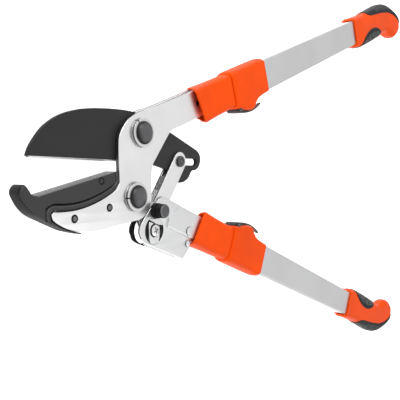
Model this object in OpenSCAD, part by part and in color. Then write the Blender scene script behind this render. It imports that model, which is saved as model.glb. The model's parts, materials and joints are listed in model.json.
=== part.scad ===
// Telescopic ratchet lopper: a blade closing on a fixed anvil, two arms that lengthen.
// Millimetres. The tool lies on its back: +X towards the grips, +Y towards the upper
// handle, +Z up out of the front face. Origin: middle of the footprint, on the ground.

/* [Cutting head] */
// Thickness of the blade plate
blade_t = 3; // [2.5:0.1:4]
// Thickness of each head plate
plate_t = 3.5; // [3:0.1:4.5]
// Running gap between two plates that slide on each other
gap = 0.2; // [0.1:0.05:0.4]
// Distance from the blade pivot to the cutting edge
edge_r = 21.3; // [18:0.1:25]
// Lean of the cutting edge when the tool is open
edge_lean = -1.2; // [-3:0.1:3]
// Angle the blade turns from open to closed
close_angle = 13.56; // [10:0.01:20]
// Full thickness of the anvil
anvil_t = 12.6; // [10:0.1:16]
// Radius of both main pivot bolts
bolt_r = 5; // [4:0.1:6]
// Radius of the domed bolt caps
cap_r = 8.4; // [7:0.1:10]
// Outside radius of the split washers
washer_r = 10.6; // [9:0.1:12]

/* [Ratchet link] */
// Thickness of each flange of the link
flange_t = 1.8; // [1.5:0.1:2.5]
// Width of the link
link_w = 14.9; // [12:0.1:18]
// Radius of the link pin where it runs in the slot
pin_r = 2.3; // [2:0.1:3]
// Height of the slot in the blade's tail
slot_h = 5.3; // [5:0.1:6]
// Length of the slot between the middles of its round ends
slot_len = 23.2; // [15:0.1:24]
// Radius of the black ratchet pin
knob_r = 5.7; // [4:0.1:7]
// Thickness of each bracket plate
bracket_t = 1.8; // [1.5:0.1:2.5]

/* [Arms and collars] */
// Half width of the outer tube
tube_w = 15; // [12:0.1:18]
// Half depth of the outer tube
tube_d = 7; // [6:0.1:9]
// Wall of both tubes
wall = 1.2; // [1:0.1:2]
// Gap between the inner and the outer tube
slip = 0.3; // [0.2:0.05:0.5]
// Corner radius of the outer tube
tube_r = 2.6; // [2:0.1:4]
// Half depth of the stop collar
stop_d = 9.6; // [9:0.1:12]
// Half depth of the clamp collar
clamp_d = 10.2; // [9:0.1:12]
// Distance the outer tube slides out
travel = 250; // [200:5:270]
// Length of inner tube still inside the outer one at full reach
kept_in = 68; // [50:1:90]

/* [Grips] */
// Half depth of a grip
grip_d = 11.5; // [10:0.1:14]
// Where the mouth of the grip starts along the arm
mouth_s = 298; // [280:1:320]

/* [Hidden] */
$fn = 64;
eps = 0.05;

// Levels, measured from the middle plane of the blade
blade_z = blade_t / 2;
plate_z = blade_z + gap;
face_z = plate_z + plate_t;
flange_z = blade_z + 0.1;
bracket_z = flange_z + flange_t + gap;
shell_z = bracket_z + bracket_t;
arm_z = shell_z + 0.1;
rest_z = grip_d;

// Positions in the head, from the blade pivot
hinge = [-6.3, -45.7];
knob = [14.9, -56.8];
pin = [46.8, -19.9];
window = [13.8, -71.5];
rear_window = [11.6, -71.8];
round_r = 17.2;
knob_z = 15;
link_angle = 54.4;
link_end_r = 6.3;
shank_r = 3.2;
anvil_lean = edge_lean + close_angle + 0.1;

// Arms: where each one's step between the collars is, and how it leans
upper_at = [119.5, 43.5];
upper_lean = 20.4;
lower_at = [118.5, -92.8];
lower_lean = -21;
middle = [235.56, -26.78];

tube_iw = tube_w - wall;
tube_id = tube_d - wall;
inner_w = tube_iw - slip;
inner_d = tube_id - slip;
inner_s = -20;
end_s = travel + kept_in;
tube_end = mouth_s + 47;
lever_at = [3.5, -18.2];
hub_r = 3.1;
slot_z = 6.3;

// ---- helpers ----

function weld(a, b, c, d, t) =
  0.5 * (2 * b + (c - a) * t + (2 * a - 5 * b + 4 * c - d) * t * t
  + (3 * b - a - 3 * c + d) * t * t * t);

// A smooth open curve through the points
function curve(p, n = 5) = concat(
  [for (i = [0 : len(p) - 2], k = [0 : n - 1])
    weld(p[max(i - 1, 0)], p[i], p[i + 1], p[min(i + 2, len(p) - 1)], k / n)],
  [p[len(p) - 1]]);

function turned(p, a) = [p[0] * cos(a) - p[1] * sin(a), p[0] * sin(a) + p[1] * cos(a)];

// A point of a line at distance r under the blade pivot, leaning by a
function under(r, a, x) = [x, (x * sin(a) - r) / cos(a)];

module place() {
  translate([-middle[0], -middle[1], rest_z]) children();
}

module slab(z0, z1) {
  translate([0, 0, z0]) linear_extrude(z1 - z0) children();
}

module rod(at, r, z0, z1) {
  translate([at[0], at[1], z0]) cylinder(r = r, h = z1 - z0);
}

module on_arm(upper) {
  place() {
    if (upper) {
      translate([upper_at[0], upper_at[1], 0]) rotate(upper_lean) children();
    } else {
      translate([lower_at[0], lower_at[1], 0]) rotate(lower_lean) mirror([0, 1, 0]) children();
    }
  }
}

// A bar along the arm with rounded corners: from s0 to s1, across t0 to t1, depth d each way
module bar(s0, s1, t0, t1, d, r) {
  translate([s0, 0, 0]) rotate([90, 0, 90]) linear_extrude(s1 - s0)
  translate([t0, -d]) rounded(t1 - t0, 2 * d, r);
}

module rounded(w, h, r) {
  translate([r, 0]) square([w - 2 * r, h]);
  translate([0, r]) square([w, h - 2 * r]);
  for (x = [r, w - r], y = [r, h - r]) translate([x, y]) circle(r);
}

// ---- cutting head ----

head_top = curve([[56, 35], [20, 21.8], [6, 17.6], [-3.5, 14], [-10, 11], [-14.8, 8],
  [-18.5, 4], [-21.2, 0], [-23, -4], [-23.6, -8.5], [-23.5, -18], [-23, -27.5]]);
wing_top = curve([[-22.6, -35.5], [-26.3, -40.2], [-34.2, -44.4], [-42, -47.5], [-53, -50.7],
  [-63.5, -52.4], [-73.5, -52.7], [-79.7, -52.4]]);
wing_low = curve([[-81.4, -53.8], [-80.4, -57.2], [-75.3, -60.8], [-66.8, -64.4], [-53, -67],
  [-38, -66.5], [-26.4, -65.1], [-13.4, -63.6], [-6.3, -62.8]]);

module head_outline() {
  polygon(concat(
    [[94.2, 25.6], [86.4, 46.6]], head_top, wing_top, wing_low,
    [[8, -48], [10.6, -41], [10.7, -27], [12.5, -22.1], [31.2, 1.4], [33.7, 3.4],
    [37.2, 5.2], [44, 7.1]]));
  translate(hinge) circle(round_r);
}

module head_plate(side) {
  place() mirror([0, 0, side]) difference() {
    slab(plate_z, face_z) head_outline();
    if (side == 1) slab(0, 20) polygon(rear_relief);
    rod([0, 0], bolt_r + eps, 0, 20);
    rod(hinge, bolt_r + eps, 0, 20);
    for (p = rivet_spots) rod(p, 2.65, 0, 20);
    for (s = [-55, -38]) rod(joiner_spot(s), 2.05, 0, 20);
  }
}

// The rear plate stands back from the throat of the jaw
rear_relief = concat(curve([[-30, -6], [-20.5, -11], [-14.5, -17], [-13, -24], [-13.5, -32],
  [-18, -38], [-24, -40.5], [-31, -42.8]]), [[-40, -30]]);
rivet_spots = [[-63.1, -57.6], [-32.3, -52.1]];

function joiner_spot(s) = upper_at + turned([s, 3.2], upper_lean);

module head_plate_front() {
  color("Gainsboro") head_plate(0);
}

module head_plate_rear() {
  color("Gainsboro") head_plate(1);
}

nose = curve([[-68.2, -64.6], [-73.8, -62.4], [-83.8, -58.6], [-93.3, -54],
  [-98.8, -49.4], [-102.7, -44.3], [-104.6, -40.3], [-103.9, -37.4], [-101.7, -35.3],
  [-99.8, -35.6], [-97.6, -38], [-95.8, -40.6], [-93.3, -42], [-91.1, -42.3]]);

module anvil_outline() {
  polygon(concat(nose, [under(edge_r + 0.15, anvil_lean, -89.5),
    under(edge_r + 0.15, anvil_lean, -24.4), [-23.8, -34], [-23.8, -35.6]],
    [for (p = wing_top) p + [-0.25, 0.3]], [[-81.8, -54.2], [-80.9, -57.5], [-75.6, -61],
    [-68, -64.2]]));
}

module anvil() {
  color("DimGray") place() difference() {
    union() {
      difference() {
        slab(-anvil_t / 2, anvil_t / 2) anvil_outline();
        for (z = [-anvil_t / 2 - 1, anvil_t / 2 - 0.9]) slab(z, z + 1.9) polygon(concat(
          curve([[-79, -44.4], [-71, -48.3], [-55, -46.6], [-43, -43.4], [-33, -38.6],
          [-29.6, -35]]), [[-29.6, -31.6], [-79, -42.6]]));
      }
      slab(-blade_z, blade_z) polygon(concat(wing_top, [[-81.9, -54.4], [-75, -59.2],
        [-66, -62.8], [-53, -65], [-38, -64], [-26, -60], [-21.2, -50], [-21.2, -36]]));
    }
    for (p = rivet_spots) rod(p, 2.65, -20, 20);
  }
}

module anvil_rivets() {
  color("Gray") place() for (p = rivet_spots) rod(p, 2.6, -face_z - 0.3, face_z + 0.3);
}

module bolt(at) {
  place() {
    rod(at, bolt_r, -face_z - 5.6, face_z + 2.3);
    translate([at[0], at[1], face_z + 2.3]) rotate_extrude() intersection() {
      translate([0, -11.1]) circle(15);
      square([cap_r, 4]);
    }
  }
}

module blade_bolt() {
  color("DarkSlateGray") bolt([0, 0]);
}

module handle_bolt() {
  color("DarkSlateGray") bolt(hinge);
}

module split_washer(at, split) {
  translate([at[0], at[1], face_z]) rotate(split) difference() {
    cylinder(r = washer_r, h = 2.3);
    translate([0, 0, -1]) cylinder(r = bolt_r + eps, h = 5);
    translate([bolt_r - 1, -0.35, -1]) cube([10, 0.7, 5]);
  }
}

module split_washers() {
  color("Silver") place() {
    split_washer([0, 0], 128);
    split_washer(hinge, 184);
  }
}

module rear_nuts() {
  color("Silver") place() for (p = [[0, 0], hinge]) {
    difference() {
      union() {
        rod(p, washer_r - 0.4, -face_z - 1.4, -face_z);
        translate([p[0], p[1], -rest_z]) cylinder(r = 9, h = rest_z - face_z - 1.4, $fn = 6);
      }
      rod(p, bolt_r + eps, -20, 0);
    }
  }
}

// ---- blade ----

blade_back = curve([under(edge_r, edge_lean, -96.6), [-94.6, -13.9], [-90.2, -7.4],
  [-84.1, -0.6], [-76.2, 5], [-67.9, 8.9], [-59, 11.5], [-50, 13.3], [-35.4, 14.7],
  [-20, 15.3], [-9.2, 15.1], [0.8, 14], [14, 10], [36, 2.6]]);
tail_end = curve([[71.3, -10.5], [75.4, -14.1], [76.3, -18.9], [74.3, -23.7], [70.3, -26.5],
  [65.2, -27.3], [63, -29.2], [60.2, -32.9], [55.8, -35.5], [52, -36.6], [46.7, -36.8]]);

module blade_outline() {
  polygon(concat(blade_back, tail_end, [[42.2, -36], [37.2, -31.8], [32.6, -26.4],
    [24.8, -24.3], [16, -22.5], [8, -16], [-10, -15.5],
    under(edge_r, edge_lean, -18)]));
}

module blade() {
  color("DimGray") place() difference() {
    slab(-blade_z, blade_z) blade_outline();
    for (s = [0, 1]) mirror([0, 0, s]) bevel();
    rod([0, 0], bolt_r + eps, -5, 5);
    translate([44.8, -20.2 - slot_h / 2, -5]) cube([slot_len, slot_h, 10]);
    for (x = [44.8, 44.8 + slot_len]) rod([x, -20.2], slot_h / 2, -5, 5);
    rod([46.6, -19.4], pin_r + 0.6, -5, 5);
  }
}

// The ground bevel along the cutting edge
module bevel() {
  start = under(edge_r, edge_lean, -99);
  translate([start[0], start[1], 0]) rotate([0, 0, edge_lean]) rotate([90, 0, 90])
  linear_extrude(74) polygon([[-1, 0.15], [0, 0.15], [4.2, blade_z + 0.01],
    [4.2, blade_z + 1], [-1, blade_z + 1]]);
}

// ---- ratchet link ----

module flange_outline() {
  translate(pin) rotate(link_angle) {
    circle(link_w / 2);
    translate([-46, -link_w / 2]) square([46, link_w]);
  }
  translate(knob) circle(link_end_r);
}

module web_outline() {
  translate(pin) rotate(link_angle) translate([-31, link_w / 2 - 1.6]) square([12, 1.6]);
}

module ratchet_link() {
  color("Silver") place() difference() {
    union() {
      for (s = [0, 1]) mirror([0, 0, s]) slab(flange_z, flange_z + flange_t)
        flange_outline();
      slab(-flange_z - flange_t, flange_z + flange_t) web_outline();
    }
    rod(pin, pin_r + eps, -20, 20);
    rod(knob, shank_r + eps, -20, 20);
  }
}

module link_pin() {
  color("DarkSlateGray") place() {
    rod(pin, pin_r, -flange_z - flange_t - 1.4, flange_z + flange_t + 1.4);
    rod(pin, 4.4, flange_z + flange_t, flange_z + flange_t + 1.5);
    rod(pin, 4.4, -flange_z - flange_t - 1.5, -flange_z - flange_t);
  }
}

// ---- lower bracket ----

module pivot_plate() {
  color("Silver") place() difference() {
    union() {
      rod(hinge, 14.5, -blade_z, blade_z);
      slab(-blade_z, blade_z) polygon([[-3, -56], [5, -41], [20, -50.8], [32, -53.5],
        [76, -69], [66.3, -86.3], [58.2, -83.8], [55, -89.5], [50, -91], [30, -82], [8, -77]]);
    }
    rod(hinge, bolt_r + eps, -5, 5);
    rod(knob, shank_r + eps, -5, 5);
    rod(window, 2.05, -5, 5);
    for (p = bracket_spots) rod(p, 2.05, -5, 5);
  }
}

bracket_edge = curve([[56.2, -90], [49.8, -95.9], [46.2, -96.4], [21.2, -87.1], [2.5, -79.8],
  [-1.6, -74.3], [-2.7, -70.5], [-0.3, -65.2], [9.5, -54.6], [16.7, -49.7], [19.5, -47.8],
  [24.1, -46.7], [32.5, -49.5]], 4);
bracket_spots = [[54.2, -75.4], [54.2, -85.6]];

module bracket_outline() {
  difference() {
    polygon(concat(bracket_edge, [[75, -66.3], [66.2, -87.6], [58.1, -84.6]]));
    translate(hinge) circle(round_r + 0.4);
  }
}

module bracket(side, at, hole) {
  place() mirror([0, 0, side]) difference() {
    slab(bracket_z, shell_z) bracket_outline();
    rod(knob, shank_r + eps, 0, 20);
    rod(at, hole, 0, 20);
    for (p = bracket_spots) rod(p, 2.05, 0, 20);
  }
}

module bracket_front() {
  color("Silver") bracket(0, window, 10.4);
}

module bracket_rear() {
  color("Silver") bracket(1, rear_window, 10);
}

module spring_cover() {
  color("DarkSlateGray") place() difference() {
    union() {
      rod(window, 9.2, blade_z, bracket_z);
      rod(window, 8.4, -bracket_z, -blade_z);
    }
    rod(knob, link_end_r + 0.3, -10, 10);
    rod(window, 2.05, -10, 10);
  }
}

module spring_tab() {
  color("Silver") place() difference() {
    slab(bracket_z, shell_z + 0.4) intersection() {
      translate(window) circle(10.3);
      translate(window) rotate(4) square([12.4, 30], center = true);
    }
    rod(knob, knob_r + 0.4, -10, 20);
    rod(window, 2.05, -10, 20);
  }
}

module tab_screw() {
  color("Gainsboro") place() difference() {
    union() {
      rod(window, 2, -bracket_z - 1, shell_z + 1);
      rod(window, 4.4, shell_z + 0.4, shell_z + 2);
      rod(window, 3.6, -bracket_z - 1.6, -bracket_z);
    }
    for (a = [20, 110]) translate([window[0], window[1], shell_z + 1.4]) rotate(a)
      translate([-2.2, -0.4, 0]) cube([4.4, 0.8, 2]);
  }
}

module ratchet_pin() {
  color("DarkSlateGray") place() {
    rod(knob, shank_r, -shell_z - 1, shell_z + 1);
    rod(knob, knob_r, shell_z, knob_z);
    rod(knob, knob_r, -shell_z - 2.4, -shell_z);
  }
}

module arm_tube() {
  color("Silver") difference() {
    on_arm(false) difference() {
      bar(-93.5, -22, -9, 11.6, arm_z + 1.3, 1.6);
      bar(-100, -21, -7.7, 10.3, arm_z, 0.8);
      translate([-95, -10, -10]) linear_extrude(20)
        polygon([[-5, -2], [14.8, -2], [0, 14.2], [3, 23], [-5, 23]]);
      translate([-100, -20, -shell_z - eps]) cube([50, 40, 2 * (shell_z + eps)]);
    }
    place() for (p = bracket_spots) rod(p, 2.05, -20, 20);
  }
}

module bracket_rivets() {
  color("Gainsboro") place() {
    rod(bracket_spots[0], 2, -arm_z - 2.4, arm_z + 2.4);
    for (s = [0, 1]) mirror([0, 0, s]) rod(bracket_spots[0], 3.6, arm_z + 1.3, arm_z + 2.4);
    rod(bracket_spots[1], 2, -shell_z - 1, shell_z + 1);
    for (s = [0, 1]) mirror([0, 0, s]) rod(bracket_spots[1], 2.9, shell_z, shell_z + 1);
  }
}

// ---- telescopic arms ----

module joiner(upper) {
  on_arm(upper) difference() {
    union() {
      bar(inner_s, 12, -inner_w + wall + eps, inner_w - wall - eps, inner_d - wall - eps, 1);
      if (upper) {
        translate([-62, -6.5, -plate_z]) cube([62 + inner_s, 19, 2 * plate_z]);
      } else {
        bar(-47, inner_s, -7.6, 10.2, arm_z - eps, 0.8);
      }
    }
    if (upper) for (s = [-55, -38]) translate([s, 3.2, -10]) cylinder(r = 2.05, h = 20);
  }
}

module inner_tube(upper) {
  on_arm(upper) difference() {
    bar(inner_s, end_s, -inner_w, inner_w, inner_d, tube_r - wall);
    bar(inner_s - 1, end_s + 1, wall - inner_w, inner_w - wall, inner_d - wall, 0.6);
  }
}

module glide(upper) {
  on_arm(upper) {
    bar(end_s, end_s + 4, -tube_iw + 0.08, tube_iw - 0.08, tube_id - 0.08, tube_r - wall);
    bar(end_s - 16, end_s, wall - inner_w + eps, inner_w - wall - eps,
      inner_d - wall - eps, 0.5);
  }
}

module stop_collar(upper) {
  corner = upper ? -60.5 : -58.7;
  on_arm(upper) difference() {
    intersection() {
      slab(-stop_d, stop_d) polygon([[corner + 1, 8], [corner, 13], [corner + 2.5, 15.8],
        [-3.4, 15.8],
        [-3.4, -15.2], [-50, -15.4], [-52, -14.4], [-56, -8.6]]);
      bar(-70, 0, -15.4, 15.8, stop_d, 6.5);
    }
    bar(-70, -22, -12.9, 14.7, stop_d - 1.7, 4);
    bar(-70, 0, -inner_w - eps, inner_w + eps, inner_d + eps, tube_r - wall);
  }
}

module clamp_outline() {
  polygon(concat(curve([[-3, 14.6], [-2, 16.4], [4, 16.8], [30, 17.2], [51, 17.6], [55, 16.6],
    [56, 13]], 4), curve([[57.6, -12], [56.6, -14.6], [53, -15.8], [46, -16.2], [38, -17],
    [33, -18.6], [29, -20.9], [26.5, -22.9], [24, -23.9], [20, -23.6], [14, -22.4],
    [8, -21.4], [2, -19.4], [-2, -17.6], [-3, -15.6]], 4)));
}

module clamp_collar(upper) {
  on_arm(upper) difference() {
    intersection() {
      slab(-clamp_d, clamp_d) clamp_outline();
      bar(-10, 70, -24.6, 17.7, clamp_d, 6.5);
    }
    bar(2, 70, -tube_w - eps, tube_w + eps, tube_d + eps, tube_r);
    bar(-10, 10, -inner_w - slip, inner_w + slip, inner_d + slip, tube_r - wall);
    translate([-10, -30, -slot_z]) cube([50, 30 - tube_w - eps, 2 * slot_z]);
    translate([lever_at[0], lever_at[1], -20]) cylinder(r = 1.55, h = 40);
    translate([7.9, -20, -4.05]) cube([16.2, 12, 8.1]);
  }
}

module outer_tube(upper) {
  on_arm(upper) difference() {
    bar(2.05, tube_end, -tube_w, tube_w, tube_d, tube_r);
    bar(0, tube_end + 1, -tube_iw, tube_iw, tube_id, tube_r - wall);
    translate([7.9, -20, -4.05]) cube([16.2, 12, 8.1]);
  }
}

module clamp_pad(upper) {
  on_arm(upper) translate([8, -tube_w - 0.25, -4]) cube([16, tube_w + 0.25 - inner_w - 0.1, 8]);
}

module lever_pin(upper) {
  on_arm(upper) translate([lever_at[0], lever_at[1], -clamp_d + 1.8])
    cylinder(r = 1.5, h = 2 * clamp_d - 3.6);
}

module lever(upper) {
  on_arm(upper) difference() {
    union() {
      translate([lever_at[0], lever_at[1], -slot_z + 0.3])
        cylinder(r = hub_r, h = 2 * slot_z - 0.6);
      slab(-slot_z + 0.3, slot_z - 0.3) polygon(concat(
        curve([[4, -16], [9, -18], [14, -21], [22, -24.2], [34, -24.6], [44, -24.4],
        [49, -23.8]]), curve([[49.3, -25.2], [44, -25.9], [34, -26.2], [22, -25.8], [12, -23.8],
        [3.6, -21.2]])));
    }
    translate([lever_at[0], lever_at[1], -20]) cylinder(r = 1.55, h = 40);
  }
}

// ---- grips ----

back_edge = curve([[285, 16.6], [296, 18.6], [312, 18.4], [328, 18.4], [346, 18.7],
  [368, 19.7], [390, 20.7], [406, 21], [418, 20.2], [430, 17.7], [442, 13.6], [454, 8.6],
  [464.5, 3.2], [472.5, -3], [477.6, -10], [479.2, -17.5]]);
palm_edge = curve([[479.2, -17.6], [477.6, -24.5], [472, -30], [464, -33.3], [455, -34.3],
  [446, -32], [437, -27.2], [428, -21.8], [418, -19.8], [408, -19.8], [388, -21.3],
  [356, -22.3], [330, -22.2], [309, -21], [290, -17.4], [285, -15.6]]);
back_seam = curve([[346.5, 22], [347.5, 17], [350.5, 14], [360, 12], [385, 10.5], [407, 8.4],
  [426, 5.8], [444, 0.6], [456, -4.5], [466, -10], [474, -17], [480, -22]]);
palm_seam = curve([[311, -24], [317, -17.5], [323, -12], [336, -6.8], [352, -4.2], [367, -4.7],
  [378, -7.4], [386, -11.4], [390, -16], [393, -24]]);

module grip_block() {
  intersection() {
    slab(-grip_d, grip_d) polygon(concat(back_edge, palm_edge));
    bar(270, 490, -34.6, 21.3, grip_d, 10);
    rotate([90, 0, 0]) linear_extrude(200, center = true) translate([250, -grip_d])
      rounded(229.8, 2 * grip_d, 10.5);
  }
}

module grip_bore() {
  bar(270, tube_end, -tube_w - eps, tube_w + eps, tube_d + eps, tube_r);
  translate([270, -tube_w - eps, -20]) cube([mouth_s - 270, 2 * (tube_w + eps), 40]);
  for (s = [0, 1]) mirror([0, 0, s]) translate([270, -40, tube_d + eps])
    cube([mouth_s - 270, 80, 20]);
}

module back_region() {
  slab(-20, 20) polygon(concat(back_seam, [[500, -22], [500, 40], [346.5, 40]]));
}

module palm_region() {
  slab(-20, 20) polygon(concat(palm_seam, [[393, -50], [311, -50]]));
}

module grip_body(upper) {
  on_arm(upper) difference() {
    grip_block();
    grip_bore();
    back_region();
    palm_region();
  }
}

module grip_back(upper) {
  on_arm(upper) difference() {
    intersection() {
      grip_block();
      back_region();
    }
    grip_bore();
  }
}

module grip_palm(upper) {
  on_arm(upper) difference() {
    intersection() {
      grip_block();
      palm_region();
    }
    grip_bore();
  }
}

// ---- upper and lower pieces ----

module upper_joiner() {
  color("LightGray") union() {
    joiner(true);
    place() for (s = [-55, -38]) rod(joiner_spot(s), 2, -face_z, face_z);
  }
}

module lower_joiner() {
  color("LightGray") joiner(false);
}

module upper_inner_tube() {
  color("LightGray") inner_tube(true);
}

module lower_inner_tube() {
  color("LightGray") inner_tube(false);
}

module upper_glide() {
  color("DarkSlateGray") glide(true);
}

module lower_glide() {
  color("DarkSlateGray") glide(false);
}

module upper_stop_collar() {
  color("OrangeRed") stop_collar(true);
}

module lower_stop_collar() {
  color("OrangeRed") stop_collar(false);
}

module upper_outer_tube() {
  color("LightGray") outer_tube(true);
}

module lower_outer_tube() {
  color("LightGray") outer_tube(false);
}

module upper_clamp_collar() {
  color("OrangeRed") clamp_collar(true);
}

module lower_clamp_collar() {
  color("OrangeRed") clamp_collar(false);
}

module upper_clamp_pad() {
  color("DimGray") clamp_pad(true);
}

module lower_clamp_pad() {
  color("DimGray") clamp_pad(false);
}

module upper_lever_pin() {
  color("Silver") lever_pin(true);
}

module lower_lever_pin() {
  color("Silver") lever_pin(false);
}

module upper_lever() {
  color("DimGray") lever(true);
}

module lower_lever() {
  color("DimGray") lever(false);
}

module upper_grip_body() {
  color("OrangeRed") grip_body(true);
}

module lower_grip_body() {
  color("OrangeRed") grip_body(false);
}

module upper_grip_back() {
  color("DimGray") grip_back(true);
}

module lower_grip_back() {
  color("DimGray") grip_back(false);
}

module upper_grip_palm() {
  color("DimGray") grip_palm(true);
}

module lower_grip_palm() {
  color("DimGray") grip_palm(false);
}

head_plate_front();
head_plate_rear();
anvil();
anvil_rivets();
blade_bolt();
handle_bolt();
split_washers();
rear_nuts();
upper_joiner();
upper_inner_tube();
upper_glide();
upper_stop_collar();
blade();
ratchet_link();
link_pin();
pivot_plate();
bracket_front();
bracket_rear();
spring_cover();
spring_tab();
tab_screw();
ratchet_pin();
arm_tube();
bracket_rivets();
lower_joiner();
lower_inner_tube();
lower_glide();
lower_stop_collar();
upper_outer_tube();
upper_clamp_collar();
upper_clamp_pad();
upper_lever_pin();
upper_grip_body();
upper_grip_back();
upper_grip_palm();
upper_lever();
lower_outer_tube();
lower_clamp_collar();
lower_clamp_pad();
lower_lever_pin();
lower_grip_body();
lower_grip_back();
lower_grip_palm();
lower_lever();
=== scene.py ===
"""Looks of the telescopic ratchet lopper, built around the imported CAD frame.

Shapes are laid out in millimetres from the blade pivot (x towards the grips, y towards the
upper handle, z out of the front face) and turned into the frame's metres by head() and arm().
"""
import json
import math

import bmesh
import bpy
import numpy as np
from mathutils import Matrix, Vector
from mathutils.geometry import delaunay_2d_cdt


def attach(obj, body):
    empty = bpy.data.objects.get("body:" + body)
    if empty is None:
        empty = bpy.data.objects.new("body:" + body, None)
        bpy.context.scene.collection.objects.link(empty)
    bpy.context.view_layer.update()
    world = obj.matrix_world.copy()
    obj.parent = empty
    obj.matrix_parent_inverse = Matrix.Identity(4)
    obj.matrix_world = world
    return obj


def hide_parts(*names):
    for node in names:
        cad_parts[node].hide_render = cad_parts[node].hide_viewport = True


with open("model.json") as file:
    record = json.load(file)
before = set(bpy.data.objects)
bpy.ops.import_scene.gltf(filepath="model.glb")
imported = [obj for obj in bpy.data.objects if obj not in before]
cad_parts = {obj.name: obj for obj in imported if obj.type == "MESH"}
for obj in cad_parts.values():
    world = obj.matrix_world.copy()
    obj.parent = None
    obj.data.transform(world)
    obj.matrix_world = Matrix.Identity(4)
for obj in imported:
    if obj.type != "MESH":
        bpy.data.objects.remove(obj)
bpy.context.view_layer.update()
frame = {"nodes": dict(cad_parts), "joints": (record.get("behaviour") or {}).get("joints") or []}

PIVOT = Vector(next(j["pos_m"] for j in frame["joints"] if j["name"] == "blade_pivot"))

# -------- measures, mm
BLADE_Z = 1.5  # half the thickness of the blade and the pivot plate
PLATE = (1.7, 5.2)  # inner and outer face of a head plate
LINK = (1.6, 3.4)  # the same of a bar of the link
BRACKET = (3.6, 5.4)  # the same of a cheek of the bracket
ANVIL_Z = 6.3  # half the thickness of the anvil
HINGE = (-6.3, -45.7)  # the handle bolt
KNOB = (14.9, -56.8)  # the ratchet pin
PIN = (46.8, -19.9)  # the link pin
WINDOW, REAR_WINDOW = (13.8, -71.5), (11.6, -71.8)  # the cheeks' round windows
SLOT = (44.8, 68.0, -20.2, 2.65)  # the blade's slot: from x, to x, at y, half its width
POCKET = (46.6, -19.4)  # the notch of the slot that the link pin rests in
ROUND_R = 17.2  # the plates' round end about the handle bolt
EDGE_R = 21.3  # how far the cutting edge runs under the pivot
LAND_R = EDGE_R + 0.15  # the anvil's land, a clearance away from the closed edge
CLOSING = 13.56  # degrees that the blade turns to reach the anvil
EDGE_LEAN, ANVIL_LEAN = math.radians(-1.2), math.radians(-1.2 + CLOSING + 0.1)
UPPER_AT, UPPER_LEAN = (119.5, 43.5), math.radians(20.4)  # where the tubes begin
LOWER_AT, LOWER_LEAN = (118.5, -92.8), math.radians(-21)
RIVETS = [(-63.1, -57.6), (-32.3, -52.1)]
BRACKET_SPOTS = [(54.2, -75.4), (54.2, -85.6)]
BOLT_HOLE, RIVET_HOLE, SPOT_HOLE, KNOB_HOLE = 5.05, 2.65, 2.05, 3.25


# -------- places
def head(x, y, z):
    """A point of the cutting head, from the blade pivot, in the frame's metres."""
    return PIVOT + Vector((x, y, z)) / 1000


def arm(upper):
    """A function that turns (along, outwards, forwards) on one arm into the frame's metres."""
    (x0, y0), lean = (UPPER_AT, UPPER_LEAN) if upper else (LOWER_AT, LOWER_LEAN)
    c, s, flip = math.cos(lean), math.sin(lean), 1 if upper else -1

    def place(a, t, z):
        t *= flip
        return head(x0 + a * c - t * s, y0 + a * s + t * c, z)
    return place


# -------- outlines
def curve(points, n=8):
    """A smooth open curve through the points."""
    p = [np.array(q, float) for q in points]
    out = []
    for i in range(len(p) - 1):
        a, b, c, d = p[max(i - 1, 0)], p[i], p[i + 1], p[min(i + 2, len(p) - 1)]
        for k in range(n):
            t = k / n
            out.append(0.5 * (2 * b + (c - a) * t + (2 * a - 5 * b + 4 * c - d) * t * t
                              + (3 * b - a - 3 * c + d) * t ** 3))
    out.append(p[-1])
    return [tuple(q) for q in out]


def circle(at, r, n=64):
    """A closed outline."""
    return [(at[0] + r * math.cos(2 * math.pi * k / n), at[1] + r * math.sin(2 * math.pi * k / n))
            for k in range(n)]


def under(r, lean, x):
    """The point at x of a line that runs at distance r under the blade pivot."""
    return (x, (x * math.sin(lean) - r) / math.cos(lean))


def winding(loop):
    """The loop, turned to run anticlockwise."""
    twice = sum(a[0] * b[1] - b[0] * a[1] for a, b in zip(loop, loop[1:] + loop[:1]))
    return loop if twice > 0 else loop[::-1]


def distance_to(line, p):
    """The distance from p to a line of points."""
    a = np.array(line[:-1])
    ab = np.array(line[1:]) - a
    t = np.clip(((np.array(p) - a) * ab).sum(1) / (ab * ab).sum(1), 0, 1)
    return np.sqrt((((a + ab * t[:, None]) - np.array(p)) ** 2).sum(1)).min()


def beside(line, d, pitch):
    """Points at distance d to the left of a line."""
    out, carry = [], 0.0
    for a, b in zip(line, line[1:]):
        a, b = np.array(a), np.array(b)
        length = np.linalg.norm(b - a)
        if length < 1e-6:
            continue
        run = (b - a) / length
        while carry < length:
            out.append(a + run * carry + np.array((-run[1], run[0])) * d)
            carry += pitch
        carry -= length
    return out


def inside(loop, q):
    """Whether q is inside a closed loop, which is an array of points."""
    after = np.roll(loop, -1, 0)
    cross = (loop[:, 1] > q[1]) != (after[:, 1] > q[1])
    rise = np.where(cross, after[:, 1] - loop[:, 1], 1)
    at = loop[:, 0] + (q[1] - loop[:, 1]) * (after[:, 0] - loop[:, 0]) / rise
    return np.sum(cross & (q[0] < at)) % 2 == 1


def read(line, s):
    """The second value of a line of points where the first is s."""
    return float(np.interp(s, [p[0] for p in line], [p[1] for p in line]))


def smooth(x, a, b):
    """0 before a, 1 after b, eased between."""
    t = min(max((x - a) / (b - a), 0), 1)
    return t * t * (3 - 2 * t)


def rim_edges(triangles):
    """The edges that only one of the triangles has."""
    edges = {(a, b): True for t in triangles for a, b in zip(t, t[1:] + t[:1])}
    return [(a, b) for a, b in edges if (b, a) not in edges]


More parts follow.
